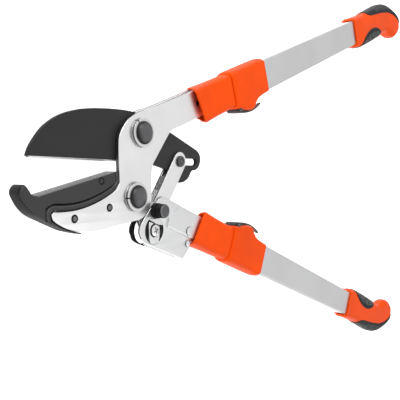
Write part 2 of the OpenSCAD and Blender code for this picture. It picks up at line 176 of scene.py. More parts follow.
def region(add, cut=(), within=()):
    """The closed outlines of the union of the add outlines, less the cut ones and inside the
    within ones."""
    points, faces = [], []
    for loop in list(add) + list(cut) + list(within):
        faces.append(list(range(len(points), len(points) + len(loop))))
        points += [Vector(p) for p in winding(loop)]
    v, _, triangles, _, _, origin = delaunay_2d_cdt(points, [], faces, 1, 1e-5)
    first_cut, first_within = len(add), len(add) + len(cut)
    kept = [t for t, o in zip(triangles, origin) if any(i < first_cut for i in o)
            and not any(first_cut <= i < first_within for i in o)
            and all(i in o for i in range(first_within, len(faces)))]
    follow = dict(rim_edges(kept))
    loops = []
    while follow:
        start = a = next(iter(follow))
        loop = []
        while a in follow:
            loop.append(tuple(v[a]))
            a = follow.pop(a)
            if a == start:
                break
        if len(loop) > 2:
            loops.append(loop)
    return loops


# -------- mesh building
def finish_mesh(mesh, angle):
    """Welds the mesh, turns its faces outwards and shades it smooth up to the angle."""
    bm = bmesh.new()
    bm.from_mesh(mesh)
    bmesh.ops.remove_doubles(bm, verts=bm.verts, dist=2e-6)
    bmesh.ops.dissolve_degenerate(bm, edges=bm.edges, dist=1e-7)
    bmesh.ops.recalc_face_normals(bm, faces=bm.faces)
    bm.to_mesh(mesh)
    bm.free()
    for p in mesh.polygons:
        p.use_smooth = True
    mesh.set_sharp_from_angle(angle=math.radians(angle))


def add_piece(node, mesh, body, materials, angle):
    """A visual piece that rides on the body and, where there is such a CAD node, replaces it."""
    finish_mesh(mesh, angle)
    mesh.name = node + "_look"
    obj = bpy.data.objects.new(mesh.name, mesh)
    bpy.context.scene.collection.objects.link(obj)
    for m in materials:
        mesh.materials.append(M[m])
    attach(obj, body)
    if node in frame["nodes"]:
        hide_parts(node)
    return obj


def tint(obj, choose):
    """Gives each face of a piece the material that choose(middle, normal) says, in mm."""
    for p in obj.data.polygons:
        x, y, z = [(p.center[i] - PIVOT[i]) * 1000 for i in range(3)]
        p.material_index = choose((x, y, z), p.normal)


def solid(verts, faces, place):
    """A mesh from points that place turns into the frame's metres."""
    mesh = bpy.data.meshes.new("solid")
    mesh.from_pydata([place(*v) for v in verts], [], faces)
    return mesh


def joined(*meshes):
    """One mesh out of several."""
    bm = bmesh.new()
    for m in meshes:
        bm.from_mesh(m)
        bpy.data.meshes.remove(m)
    out = bpy.data.meshes.new("joined")
    bm.to_mesh(out)
    bm.free()
    return out


def plate(loops, z0, z1, edge):
    """A flat plate cut to the loops, with rounded edges. Its cut sides take the second material, a
    darker one: painted shade.
    """
    data = bpy.data.curves.new("plate", "CURVE")
    data.dimensions = "2D"
    data.fill_mode = "BOTH"
    data.extrude = (z1 - z0) / 2 - edge
    data.bevel_depth = edge
    data.bevel_resolution = 3
    data.offset = -edge
    for loop in loops:
        s = data.splines.new("POLY")
        s.points.add(len(loop) - 1)
        for p, q in zip(s.points, loop):
            p.co = (q[0], q[1], 0, 1)
        s.use_cyclic_u = True
    obj = bpy.data.objects.new("plate", data)
    bpy.context.scene.collection.objects.link(obj)
    bpy.context.view_layer.update()
    mesh = bpy.data.meshes.new_from_object(obj.evaluated_get(
        bpy.context.evaluated_depsgraph_get()))
    bpy.data.objects.remove(obj)
    for v in mesh.vertices:
        v.co = head(v.co.x, v.co.y, v.co.z + (z0 + z1) / 2)
    bm = bmesh.new()
    bm.from_mesh(mesh)
    bmesh.ops.remove_doubles(bm, verts=bm.verts, dist=2e-6)
    bmesh.ops.recalc_face_normals(bm, faces=bm.faces)
    # Sideways faces get material 1, the darker one: painted shade on the cut sides.
    for f in bm.faces:
        f.material_index = 1 if abs(f.normal.z) < 0.35 else 0
    bm.to_mesh(mesh)
    bm.free()
    return mesh


def turn(at, profile, place=head, n=72, gap=None):
    """A turned piece: profile is (radius, height) from the axis below to the axis above.
    gap = (angle, width in degrees) leaves it split."""
    start, sweep = 0, 2 * math.pi
    if gap:
        start = math.radians(gap[0] + gap[1] / 2)
        sweep -= math.radians(gap[1])
    rings = n + 1 if gap else n
    verts, faces = [], []
    for k in range(rings):
        a = start + sweep * k / n
        for r, z in profile:
            verts.append((at[0] + r * math.cos(a), at[1] + r * math.sin(a), z))
    m = len(profile)
    for k in range(n):
        b = (k + 1) % rings
        for i in range(m - 1):
            faces.append([k * m + i, b * m + i, b * m + i + 1, k * m + i + 1])
        if profile[0] != profile[-1] and profile[0][0] > 0:
            faces.append([k * m + m - 1, b * m + m - 1, b * m, k * m])
    if gap:
        faces.append(list(range(m)))
        faces.append([(rings - 1) * m + i for i in range(m)][::-1])
    return solid(verts, faces, place)


def relief(loop, height, extra, crowded, pitch):
    """A two-faced casting: its front and back stand at +-height(point, distance to the edge).
    Near the crowded line the extra points take the place of the even grid."""
    near, steps = 6.7, (0.08, 0.22, 0.45, 0.8, 1.3, 2.0)
    ring = np.array(loop, float)
    keep = [0]
    for i in range(1, len(ring)):
        if np.linalg.norm(ring[i] - ring[keep[-1]]) > 0.25:
            keep.append(i)
    ring = ring[keep]
    dense = []
    for a, b in zip(ring, np.roll(ring, -1, 0)):
        k = max(1, int(np.linalg.norm(b - a) / pitch))
        dense += [tuple(a + (b - a) * i / k) for i in range(k)]
    ring = np.array(winding(dense))
    rim = np.vstack([ring, ring[:1]])
    tangent = np.roll(ring, -1, 0) - np.roll(ring, 1, 0)
    tangent /= np.linalg.norm(tangent, axis=1)[:, None]
    inward = np.stack([-tangent[:, 1], tangent[:, 0]], 1)
    inner = []
    for d in steps:
        last = None
        for q in ring + inward * d:
            apart = last is None or np.linalg.norm(q - last) > 0.4
            if apart and distance_to(rim, q) > d * 0.93:
                inner.append(q)
                last = q
    lo, hi = ring.min(0), ring.max(0)
    for i, x in enumerate(np.arange(lo[0], hi[0], pitch)):
        for y in np.arange(lo[1] + (i % 2) * pitch / 2, hi[1], pitch):
            q = np.array((x, y))
            if (inside(ring, q) and distance_to(rim, q) > steps[-1] + pitch / 2
                    and distance_to(crowded, q) > near):
                inner.append(q)
    inner += [q for q in extra if inside(ring, q) and distance_to(rim, q) > steps[-1] + 0.3]
    n = len(ring)
    v, _, triangles, _, _, _ = delaunay_2d_cdt(
        [Vector(p) for p in list(ring) + inner], [(i, (i + 1) % n) for i in range(n)],
        [list(range(n))], 1, 1e-4)
    heights = [height(p, distance_to(rim, p)) for p in v]
    verts = [(p[0], p[1], z) for p, z in zip(v, heights)]
    verts += [(p[0], p[1], -z) for p, z in zip(v, heights)]
    m = len(v)
    faces = [list(t) for t in triangles] + [[i + m for i in t][::-1] for t in triangles]
    faces += [[a, a + m, b + m, b] for a, b in rim_edges(triangles)]
    return solid(verts, faces, head)


def box_ring(t0, t1, d, low, high, inset=0.0, m=12):
    """A ring of (t, z) points: flat at z = +-d, with elliptical corners (width, depth) at
    the low and the high side."""
    def corner(k, side):
        w, h = (max(v - inset, 0.01) for v in (high if side > 0 else low))
        w, h = min(w, (t1 - t0) / 2 - inset), min(h, d - inset)
        a = math.pi / 2 * k / (m - 1)
        edge = t1 - inset if side > 0 else t0 + inset
        return edge - side * w * (1 - math.cos(a)), d - inset - h * (1 - math.sin(a))
    front = ([corner(k, 1) for k in range(m)] + [corner(k, -1) for k in range(m)][::-1])
    return front + [(t, -z) for t, z in front[::-1]]


def rings_mesh(rings, place, closed=False):
    """Skins rings of (s, t, z) points, each with the same number of points. The skin runs on
    from the last ring to the first, or has a cap on both ends."""
    m = len(rings[0])
    verts = [p for r in rings for p in r]
    faces = []
    for k in range(len(rings) if closed else len(rings) - 1):
        b = (k + 1) % len(rings)
        for i in range(m):
            j = (i + 1) % m
            faces.append([k * m + i, k * m + j, b * m + j, b * m + i])
    if not closed:
        faces.append(list(range(m))[::-1])
        faces.append([(len(rings) - 1) * m + i for i in range(m)])
    return solid(verts, faces, place)


def hexagon(at, r, z0, z1, bore, n=72):
    """A hexagon nut with chamfered corners, from z0 to z1."""
    rows = []
    for share, inset in ((0, 0), (0.72, 0), (0.84, 0.35), (0.93, 0.8), (1, 1.35)):
        ring = []
        for k in range(n):
            a = 2 * math.pi * k / n
            off = (a + math.pi / 6) % (math.pi / 3) - math.pi / 6
            flat = r * math.cos(math.pi / 6) / math.cos(off)
            ring.append((at[0] + min(flat, r - inset) * math.cos(a),
                         at[1] + min(flat, r - inset) * math.sin(a),
                         z0 + (z1 - z0) * share))
        rows.append(ring)
    for share in (1, 0):
        rows.append([(x, y, z0 + (z1 - z0) * share) for x, y in circle(at, bore, n)])
    return rings_mesh(rows, head, closed=True)


def facing(side, profile):
    """A profile for turn(), on the front (side 1) or on the back (side -1)."""
    return [(r, side * z) for r, z in profile]


# -------- materials
def shader(name, color, metallic, roughness, **sockets):
    """A material with its node tree and its shader. Sockets are named with _ for spaces."""
    mat = bpy.data.materials.new(name)
    mat.use_nodes = True
    nt = mat.node_tree
    bsdf = nt.nodes["Principled BSDF"]
    bsdf.inputs["Base Color"].default_value = (*color, 1)
    bsdf.inputs["Metallic"].default_value = metallic
    bsdf.inputs["Roughness"].default_value = roughness
    for key, value in sockets.items():
        bsdf.inputs[key.replace("_", " ")].default_value = value
    return mat, nt, bsdf


def noise(nt, scale, detail=4, stretch=(1, 1, 1), turn_z=0.0, rough=0.55):
    """Noise over the object's own place, stretched along a direction if asked."""
    place = nt.nodes.new("ShaderNodeTexCoord")
    mapping = nt.nodes.new("ShaderNodeMapping")
    mapping.inputs["Rotation"].default_value = (0, 0, -turn_z)
    mapping.inputs["Scale"].default_value = stretch
    n = nt.nodes.new("ShaderNodeTexNoise")
    for key, value in (("Scale", scale), ("Detail", detail), ("Roughness", rough)):
        n.inputs[key].default_value = value
    nt.links.new(place.outputs["Object"], mapping.inputs["Vector"])
    nt.links.new(mapping.outputs["Vector"], n.inputs["Vector"])
    return n.outputs["Fac"]


def ramp(nt, fac, stops):
    """Colours over fac, from (place, colour) stops."""
    r = nt.nodes.new("ShaderNodeValToRGB")
    while len(r.color_ramp.elements) < len(stops):
        r.color_ramp.elements.new(0.5)
    for e, (at, color) in zip(r.color_ramp.elements, stops):
        e.position = at
        e.color = (*color, 1)
    nt.links.new(fac, r.inputs["Fac"])
    return r.outputs["Color"]


def spread(nt, fac, low, high, a=0.3, b=0.7):
    """The span from a to b of fac, mapped to low and high."""
    m = nt.nodes.new("ShaderNodeMapRange")
    for key, value in (("From Min", a), ("From Max", b), ("To Min", low), ("To Max", high)):
        m.inputs[key].default_value = value
    nt.links.new(fac, m.inputs["Value"])
    return m.outputs["Result"]


def mix(nt, fac, a, b, mode="MIX"):
    """A mix of two colours. Each input is a number, a colour or a socket."""
    m = nt.nodes.new("ShaderNodeMix")
    m.data_type = "RGBA"
    m.blend_type = mode
    for socket, value in ((m.inputs[0], fac), (m.inputs[6], a), (m.inputs[7], b)):
        if isinstance(value, (int, float)):
            socket.default_value = value
        elif isinstance(value, tuple):
            socket.default_value = (*value, 1)
        else:
            nt.links.new(value, socket)
    return m.outputs[2]


def bump(nt, bsdf, parts):
    """Bumps from (height, strength, distance in metres), one on the other."""
    normal = None
    for height, strength, distance in parts:
        b = nt.nodes.new("ShaderNodeBump")
        b.inputs["Strength"].default_value = strength
        b.inputs["Distance"].default_value = distance
        nt.links.new(height, b.inputs["Height"])
        if normal:
            nt.links.new(normal, b.inputs["Normal"])
        normal = b.outputs["Normal"]
    nt.links.new(normal, bsdf.inputs["Normal"])


def metal(name, color, roughness, grain=0.0, lean=0.0, cloud=0.06, scratch=0.25, fine=900):
    """Metal with a faint cloud, a brushed grain along lean, and a few hairline scratches."""
    mat, nt, bsdf = shader(name, color, 1.0, roughness)
    patch = noise(nt, 22, 3)
    grainy = noise(nt, fine, 3, (0.03, 1, 1), lean)
    dark = tuple(c * (1 - cloud) for c in color)
    tone = ramp(nt, patch, [(0.35, dark), (0.62, color)])
    line = noise(nt, 260, 6, (0.05, 1, 1), lean + 0.6, 0.7)
    lines = ramp(nt, line, [(0.60, (1, 1, 1)), (0.64, (1 - scratch,) * 3), (0.68, (1, 1, 1))])
    tone = mix(nt, 0.35, tone, lines, "MULTIPLY")
    nt.links.new(tone, bsdf.inputs["Base Color"])
    nt.links.new(spread(nt, patch, roughness * 0.85, roughness * 1.2), bsdf.inputs["Roughness"])
    bump(nt, bsdf, [(patch, 0.05, 0.002), (grainy, 0.08 + grain, 0.00006)])
    return mat


def coating(name, color, roughness, pore, depth, metallic=0.0, **sockets):
    """A paint, coating or moulded plastic with a fine skin texture and soft unevenness."""
    mat, nt, bsdf = shader(name, color, metallic, roughness, **sockets)
    patch = noise(nt, 30, 4)
    skin = noise(nt, pore, 2)
    light = tuple(min(1, c * 1.10) for c in color)
    dark = tuple(c * 0.92 for c in color)
    tone = ramp(nt, patch, [(0.32, dark), (0.68, light)])
    nt.links.new(tone, bsdf.inputs["Base Color"])
    nt.links.new(spread(nt, patch, roughness * 0.88, roughness * 1.14), bsdf.inputs["Roughness"])
    bump(nt, bsdf, [(patch, 0.04, 0.002), (skin, 0.35, depth)])
    return mat


def domed(name, rim, middle, roughness):
    """A blackened head, with painted shade round its rim and a painted highlight where it faces up
    or down.
    """
    mat, nt, bsdf = shader(name, middle, 0.35, roughness, Specular_IOR_Level=0.5)
    place = nt.nodes.new("ShaderNodeTexCoord")
    split = nt.nodes.new("ShaderNodeSeparateXYZ")
    nt.links.new(place.outputs["Normal"], split.inputs["Vector"])
    up = nt.nodes.new("ShaderNodeMath")
    up.operation = "ABSOLUTE"
    nt.links.new(split.outputs["Z"], up.inputs[0])
    patch = noise(nt, 260, 5, rough=0.7)
    # Painted light: the dark rim colour where the normal turns sideways, the lighter middle colour
    # where it faces up or down.
    tone = mix(nt, spread(nt, up.outputs[0], 0, 1, 0.72, 0.97), rim, middle)
    tone = mix(nt, 0.6, tone, ramp(nt, patch, [(0.3, (0.6,) * 3), (0.7, (1, 1, 1))]), "MULTIPLY")
    nt.links.new(tone, bsdf.inputs["Base Color"])
    nt.links.new(spread(nt, patch, roughness * 0.8, roughness * 1.25), bsdf.inputs["Roughness"])
    bump(nt, bsdf, [(patch, 0.25, 0.0002), (noise(nt, 1500, 2), 0.3, 0.00004)])
    return mat


M = {
    "plate": metal("plate_face", (0.97, 0.97, 0.975), 0.34, cloud=0.06, scratch=0.08),
    # Darker copy of the plate metal for faces that look sideways: painted shade.
    "plate_side_shade": metal("plate_side_shade", (0.17, 0.17, 0.175), 0.46, cloud=0.35, fine=1500),
    "steel": metal("bright_steel", (0.86, 0.865, 0.87), 0.33, cloud=0.08, scratch=0.08),
    # Darker copy of the bright steel for faces that look sideways: painted shade.
    "steel_side_shade": metal("steel_side_shade", (0.16, 0.16, 0.16), 0.45, cloud=0.3),
    "channel": metal("channel_steel", (0.84, 0.845, 0.85), 0.36, cloud=0.08, scratch=0.08),
    "polish": metal("polished_steel", (0.88, 0.88, 0.89), 0.27, cloud=0.05, scratch=0.1),
    "washer": metal("washer_steel", (0.86, 0.86, 0.87), 0.36, cloud=0.15, scratch=0.1),
    "tube_upper": metal("tube_upper", (0.73, 0.732, 0.737), 0.42, 0.12, UPPER_LEAN, 0.03, 0.04),
    "tube_lower": metal("tube_lower", (0.73, 0.732, 0.737), 0.42, 0.12, LOWER_LEAN, 0.03, 0.04),
    "blade": coating("blade_coating", (0.020, 0.020, 0.0205), 0.50, 1200, 0.00004,
                     Specular_IOR_Level=0.30),
    "edge": metal("ground_edge", (0.80, 0.80, 0.81), 0.28, 0.1, 0.0),
    "cast": coating("cast_black", (0.030, 0.030, 0.0315), 0.46, 900, 0.00012,
                    Specular_IOR_Level=0.40),
    # Lighter casting colour on the top edge of the anvil's raised band: a painted highlight.
    "band_highlight": coating("casting_band_highlight", (0.085, 0.085, 0.087), 0.42, 900, 0.00008,
                      metallic=0.4),
    "land": coating("cutting_land", (0.10, 0.10, 0.105), 0.42, 1100, 0.00005, metallic=0.5),
    # Near-black for sides, grooves, rims and faces between parts: painted shade.
    "painted_shade": coating("painted_shade_flank", (0.008, 0.008, 0.0085), 0.50, 1000, 0.00008,
                    Specular_IOR_Level=0.12),
    "oxide": coating("black_oxide", (0.060, 0.061, 0.065), 0.34, 1600, 0.00003,
                     Specular_IOR_Level=0.6),
    "cap": domed("bolt_cap", (0.014, 0.014, 0.015), (0.115, 0.116, 0.12), 0.36),
    # Lighter oxide: wear on the middle of the anvil rivets' heads, and a painted highlight on the
    # ratchet pin's rim.
    "wear_and_highlight": coating("worn_oxide_and_highlight", (0.16, 0.16, 0.165), 0.40, 1300, 0.00004, metallic=0.6),
    "orange": coating("orange_plastic", (0.87, 0.073, 0.001), 0.46, 1400, 0.00003,
                      Specular_IOR_Level=0.07),
    "black": coating("black_plastic", (0.022, 0.023, 0.025), 0.45, 1500, 0.00004,
                     Specular_IOR_Level=0.4),
    # Lighter rubber for the grip pads' ridge tops: a painted highlight.
    "crest_highlight": coating("rubber_crest_highlight", (0.15, 0.155, 0.16), 0.36, 1500, 0.00004),
    "rubber": coating("black_rubber", (0.008, 0.010, 0.012), 0.50, 1900, 0.00006,
                      Specular_IOR_Level=0.20),
}

# -------- cutting head
head_top = curve([(56, 35), (20, 21.8), (6, 17.6), (-3.5, 14), (-10, 11), (-14.8, 8),
                  (-18.5, 4), (-21.2, 0), (-23, -4), (-23.6, -8.5), (-23.5, -18), (-23, -27.5)])
wing_top = curve([(-22.6, -35.5), (-26.3, -40.2), (-34.2, -44.4), (-42, -47.5), (-53, -50.7),
                  (-63.5, -52.4), (-73.5, -52.7), (-79.7, -52.4)])
wing_low = curve([(-81.4, -53.8), (-80.4, -57.2), (-75.3, -60.8), (-66.8, -64.4), (-53, -67),
                  (-38, -66.5), (-26.4, -65.1), (-13.4, -63.6), (-6.3, -62.8)])
head_loop = ([(94.2, 25.6), (86.4, 46.6)] + head_top + wing_top + wing_low
             + [(8, -48), (10.6, -41), (10.7, -27)]
             + curve([(12.5, -22.1), (31.2, 1.4), (33.7, 3.4), (37.2, 5.2), (44, 7.1)], 4))
rear_relief = curve([(-30, -6), (-20.5, -11), (-14.5, -17), (-13, -24), (-13.5, -32),
                     (-18, -38), (-24, -40.5), (-31, -42.8)]) + [(-40, -30)]
head_holes = ([circle((0, 0), BOLT_HOLE), circle(HINGE, BOLT_HOLE)]
              + [circle(p, RIVET_HOLE, 40) for p in RIVETS])


def make_head_plates():
    outline = [head_loop, circle(HINGE, ROUND_R, 96)]
    front = region(outline, head_holes)
    rear = region(outline, head_holes + [rear_relief])
    for node, loops, z0, z1 in (("head_plate_front", front, *PLATE),
                                ("head_plate_rear", rear, -PLATE[1], -PLATE[0])):
        add_piece(node, plate(loops, z0, z1, 0.45), "head",
                  ["plate", "plate_side_shade"], 40)


# -------- anvil
nose = curve([(-58, -67.9), (-68.2, -65.3), (-75, -62.5), (-83.8, -58.6), (-93.3, -54),
              (-98.8, -49.4), (-102.7, -44.3), (-104.6, -40.3), (-103.9, -37.4), (-101.7, -35.3),
              (-99.8, -35.6), (-97.6, -38), (-95.8, -40.6), (-93.3, -42), (-91.1, -42.3)])
anvil_rim = curve([(-22.9, -29)] + [wing_top[i] for i in range(0, len(wing_top), 8)]
                  + [(-81.4, -53.8), (-80.4, -57.2), (-75.3, -60.8), (-68, -63.9)], 6)
HOOK = (-101, -40)  # the middle of the hooked end
MARK = (-40.7, -34.0)  # the small ring mark in the face


def over_land(x, y):
    """How far above the anvil's cutting land the point is."""
    return math.cos(ANVIL_LEAN) * y - math.sin(ANVIL_LEAN) * x + LAND_R


def anvil_height(p, d):
    """The anvil's face at p, at distance d from its outline: rounded edges, the grooves that
    follow the head plate's rim, and the small ring mark."""
    x, y = p[0], p[1]
    hook = math.exp(-((x - HOOK[0]) ** 2 + (y - HOOK[1]) ** 2) / 60)
    r = 0.8 if x > -90.5 and abs(over_land(x, y)) < 6 else 1.3 + 0.9 * hook
    z = ANVIL_Z - 0.5 * hook
    if d < r:
        z -= r - math.sqrt(max(r * r - (r - d) ** 2, 0))
    b = distance_to(anvil_rim, p)
    if b < 8 and d > 0.05:
        z -= 0.35 * (1 - smooth(b, 3.2, 5.4)) + 1.5 * math.exp(-((b - 4.5) / 0.62) ** 2)
        z -= 0.5 * math.exp(-((b - 2.6) / 0.4) ** 2)
    q = math.hypot(x - MARK[0], y - MARK[1])
    if q < 4:
        z -= 0.6 * math.exp(-((q - 2.1) / 0.55) ** 2)
    return max(z, 0.4)


def anvil_land_and_shade(at, n):
    """1 on the land; 2, painted shade, on the sides, round the ring mark, in the grooves and along
    the rim; 3, a painted highlight, on the raised band's edge; 0 elsewhere.
    """
    if abs(n.z) < 0.6 and abs(over_land(at[0], at[1])) < 0.5 and at[0] > -91:
        return 1
    if abs(n.z) < 0.45 or 1.5 < math.hypot(at[0] - MARK[0], at[1] - MARK[1]) < 2.6:
        return 2
    b = distance_to(anvil_rim, at[:2])
    if 4.15 < b < 4.9 or b < 1.3:
        return 2
    return 3 if 3.1 < b < 3.8 else 0


def make_anvil():
    gap = 0.85
    loop = (nose + [under(LAND_R, ANVIL_LEAN, -89.5), under(LAND_R, ANVIL_LEAN, -25.6),
                    (-24.0, -28.2), (-23.8, -32)]
            + [tuple(q) for q in beside(wing_top, -gap, 1.0)]
            + [(-82.5, -54.2), (-81.9, -57.6), (-76.2, -60.9), (-68.2, -64.3), (-58, -66.9)])
    extra = [q for d in (1.6, 2.2, 2.6, 3.0, 3.5, 3.9, 4.2, 4.5, 4.8, 5.1, 5.6, 6.2)
             for q in beside(anvil_rim, -d, 0.8)]
    body = relief(loop, anvil_height, extra, anvil_rim, 0.8)
    tongue = wing_top[6:] + [(-81.9, -54.4), (-75, -59.2), (-66, -62.8), (-53, -65), (-38, -64),
                             (-26, -60), (-21.2, -50), (-21.2, -38)]
    mesh = joined(body, plate(region([tongue]), -BLADE_Z, BLADE_Z, 0.2))
    obj = add_piece("anvil", mesh, "head", ["cast", "land", "painted_shade", "band_highlight"], 38)
    tint(obj, anvil_land_and_shade)


def make_anvil_rivets():
    profile = [(0, 4), (2.6, 4), (2.6, 5.3), (2.5, 5.45), (2.0, 5.5), (1.85, 5.2), (1.7, 5.35),
               (0, 5.45)]
    parts = [turn(p, facing(side, profile), n=40) for p in RIVETS for side in (1, -1)]
    obj = add_piece("anvil_rivets", joined(*parts), "head", ["painted_shade", "wear_and_highlight"], 30)
    # The middle of each head's faces takes the lighter colour of wear; the flanks and rims take the
    # near-black painted shade.
    tint(obj, lambda at, n: abs(n.z) > 0.5 and min(
        math.hypot(at[0] - x, at[1] - y) for x, y in RIVETS) < 1.75)


# -------- bolts
def make_bolts():
    dome = [(r, 7.5 + z) for r, z in ((0, 3.9), (2, 3.78), (4, 3.4), (5.6, 2.85), (6.9, 2.15),
                                      (7.7, 1.5), (8.2, 0.85), (8.4, 0.3), (8.3, 0.0))]
    shank = [(5, 7.5), (5, -10.8), (0, -10.8)]
    washer = [(5.3, 5.2), (10.3, 5.2), (10.6, 5.5), (10.6, 7.1), (10.35, 7.45), (9.9, 7.5),
              (5.3, 7.5)]
    for node, at in (("blade_bolt", (0, 0)), ("handle_bolt", HINGE)):
        add_piece(node, turn(at, (dome + shank)[::-1]), "head", ["cap"], 30)
    mesh = joined(turn((0, 0), washer, gap=(128, 5)), turn(HINGE, washer, gap=(184, 5)))
    obj = add_piece("split_washers", mesh, "head", ["washer", "steel_side_shade"], 30)
    # Upright walls take the darker steel: painted shade round each washer.
    tint(obj, lambda at, n: 1 if abs(n.z) < 0.3 else 0)
    nuts = []
    for at in ((0, 0), HINGE):
        flange = [(5.1, -5.2), (10.2, -5.2), (10.2, -6.2), (9.4, -6.6), (5.1, -6.6)]
        nuts += [turn(at, flange), hexagon(at, 9, -6.62, -11.5, 5.1)]
    add_piece("rear_nuts", joined(*nuts), "head", ["steel"], 30)


# -------- blade
blade_back = curve([under(EDGE_R, EDGE_LEAN, -96.4), (-94.5, -13.9), (-90.2, -7.4), (-84.1, -0.6),
                    (-76.2, 5.0), (-67.9, 8.9), (-59, 11.5), (-50, 13.3), (-35.4, 14.7),
                    (-20, 15.3), (-9.2, 15.1), (0.8, 14), (14, 10), (36, 2.6)])
tail_end = curve([(71.3, -10.5), (75.4, -14.1), (76.3, -18.9), (74.3, -23.7), (70.3, -26.5),
                  (65.2, -27.3), (63, -29.2), (60.2, -32.9), (55.8, -35.5), (52, -36.6),
                  (46.7, -36.8)])


def make_blade():
    loop = (blade_back + tail_end + [(42.2, -36), (37.2, -31.8), (32.6, -26.4), (24.8, -24.3),
                                     (16, -22.5), (8, -16), (-10, -15.5),
                                     under(EDGE_R, EDGE_LEAN, -18)])
    x0, x1, y, r = SLOT
    slot = [(x0 + (x1 - x0) * (math.sin(a) > 0) + r * math.sin(a), y + r * math.cos(a))
            for a in (2 * math.pi * (k + 0.5) / 48 for k in range(48))]
    ground = [under(r, EDGE_LEAN, x) for r, x in ((EDGE_R - 0.9, -18), (EDGE_R - 0.9, -101),
                                                  (EDGE_R + 2, -101), (EDGE_R + 2, -18))]
    holes = [circle((0, 0), BOLT_HOLE), slot, circle(POCKET, 2.95, 32)]
    mesh = plate(region([loop], holes + [ground]), -BLADE_Z, BLADE_Z, 0.25)
    add_piece("blade", mesh, "blade", ["blade", "painted_shade"], 30)


def make_blade_edge():
    """The bright ground strip: a thin wedge that comes to a point at the blade's tip."""
    c, s = math.cos(EDGE_LEAN), math.sin(EDGE_LEAN)
    rows = []
    for k, x in enumerate(np.linspace(-96.3, -18.4, 60)):
        thin, back = (0.35, 0.42) if k == 0 else (1, 0)
        x0, y0 = under(EDGE_R, EDGE_LEAN, x)
        ring = []
        for up, z in ((1.0, BLADE_Z - 0.03), (0.85, BLADE_Z - 0.08), (0.45, 0.75), (0.05, 0.12),
                      (0, 0), (0.05, -0.12), (0.45, -0.75), (0.85, -BLADE_Z + 0.08),
                      (1.0, -BLADE_Z + 0.03)):
            ring.append((x0 - s * up + up * back, y0 + c * up, z * thin))
        rows.append(ring)
    add_piece("blade_edge", rings_mesh(rows, head), "blade", ["edge"], 30)


# -------- ratchet link
def make_link():
    lean, length, half = math.radians(54.4), 46, 7.45
    c, s = math.cos(lean), math.sin(lean)

    def along(u, v):
        return (PIN[0] + u * c - v * s, PIN[1] + u * s + v * c)
    bar = [along(-length, -half), along(0, -half), along(0, half), along(-length, half)]
    flange = region([bar, circle(PIN, half), circle(KNOB, 6.3)],
                    [circle(PIN, 2.35, 40), circle(KNOB, KNOB_HOLE, 48)])
    web = [along(-31, half - 1.6), along(-19, half - 1.6), along(-19, half), along(-31, half)]
    mesh = joined(plate(flange, LINK[0], LINK[1], 0.3), plate(flange, -LINK[1], -LINK[0], 0.3),
                  plate([web], -LINK[1] + 0.1, LINK[1] - 0.1, 0.2))
    add_piece("ratchet_link", mesh, "link", ["plate", "steel_side_shade"], 40)
    end = [(2.3, 3.4), (4.4, 3.4), (4.4, 4.4), (4.15, 4.8), (3.6, 4.9), (2.6, 4.9), (2.3, 4.6),
           (1.9, 4.45), (1.5, 4.8), (0, 4.85)]
    profile = facing(-1, end)[::-1] + facing(1, end)
    add_piece("link_pin", turn(PIN, profile, n=48), "link", ["cap"], 30)


# -------- lower bracket
bracket_edge = curve([(56.2, -90), (49.8, -95.9), (46.2, -96.4), (21.2, -87.1), (2.5, -79.8),
                      (-1.6, -74.3), (-2.7, -70.5), (-0.3, -65.2), (9.5, -54.6), (16.7, -49.7),
                      (19.5, -47.8), (24.1, -46.7), (32.5, -49.5)])
plate_loop = [(-3, -56), (5, -41), (20, -50.8), (32, -53.5), (76, -69), (66.3, -86.3),
              (58.2, -83.8), (55, -89.5), (50, -91), (30, -82), (8, -77)]
TAB = [(8.6, -64.6), (11.5, -65.6), (15.5, -67.6), (18.8, -68.6), (19.6, -71), (19.4, -75),
       (19.0, -79), (17.5, -84), (10.5, -84), (8.4, -79), (7.9, -74.2), (7.5, -69),
       (7.7, -65.6), (8.6, -64.6)]
TAB_ROOT = [(4, -61.6), (7.6, -63.0), (11.5, -64.7), (15.8, -66.8), (19.6, -67.8), (24.5, -68.3),
            (24.5, -58), (4, -58)]


def rear_shading(at, n):
    """The rear cheek's left part, its edge and the inner face that show past the front one, takes
    painted shade.
    """
    return 2 if n.z > -0.5 and at[0] < 13 else 0


def front_shading(at, n):
    """The cut sides take painted shade, except along the bottom."""
    return 1 if abs(n.z) < 0.5 and (n.y > -0.5 or at[1] > -70) else 0


def make_bracket():
    holes = [circle(p, SPOT_HOLE, 32) for p in BRACKET_SPOTS] + [circle(KNOB, KNOB_HOLE, 48)]
    loop = bracket_edge + [(75, -66.3), (66.2, -87.6), (58.1, -84.6)]
    for node, window, z0, z1, shading in (
            ("bracket_front", circle(WINDOW, 10.4, 80), *BRACKET, front_shading),
            ("bracket_rear", circle(REAR_WINDOW, 10, 80), -BRACKET[1], -BRACKET[0], rear_shading)):
        loops = region([loop], holes + [window, circle(HINGE, ROUND_R + 0.4, 96)])
        tint(add_piece(node, plate(loops, z0, z1, 0.35), "lower_arm",
                       ["steel", "steel_side_shade", "painted_shade"], 40), shading)
    loops = region([plate_loop, circle(HINGE, 14.5, 96)],
                   holes + [circle(WINDOW, SPOT_HOLE, 32), circle(HINGE, BOLT_HOLE)])
    add_piece("pivot_plate", plate(loops, -BLADE_Z, BLADE_Z, 0.3), "lower_arm",
              ["steel", "steel_side_shade"], 40)


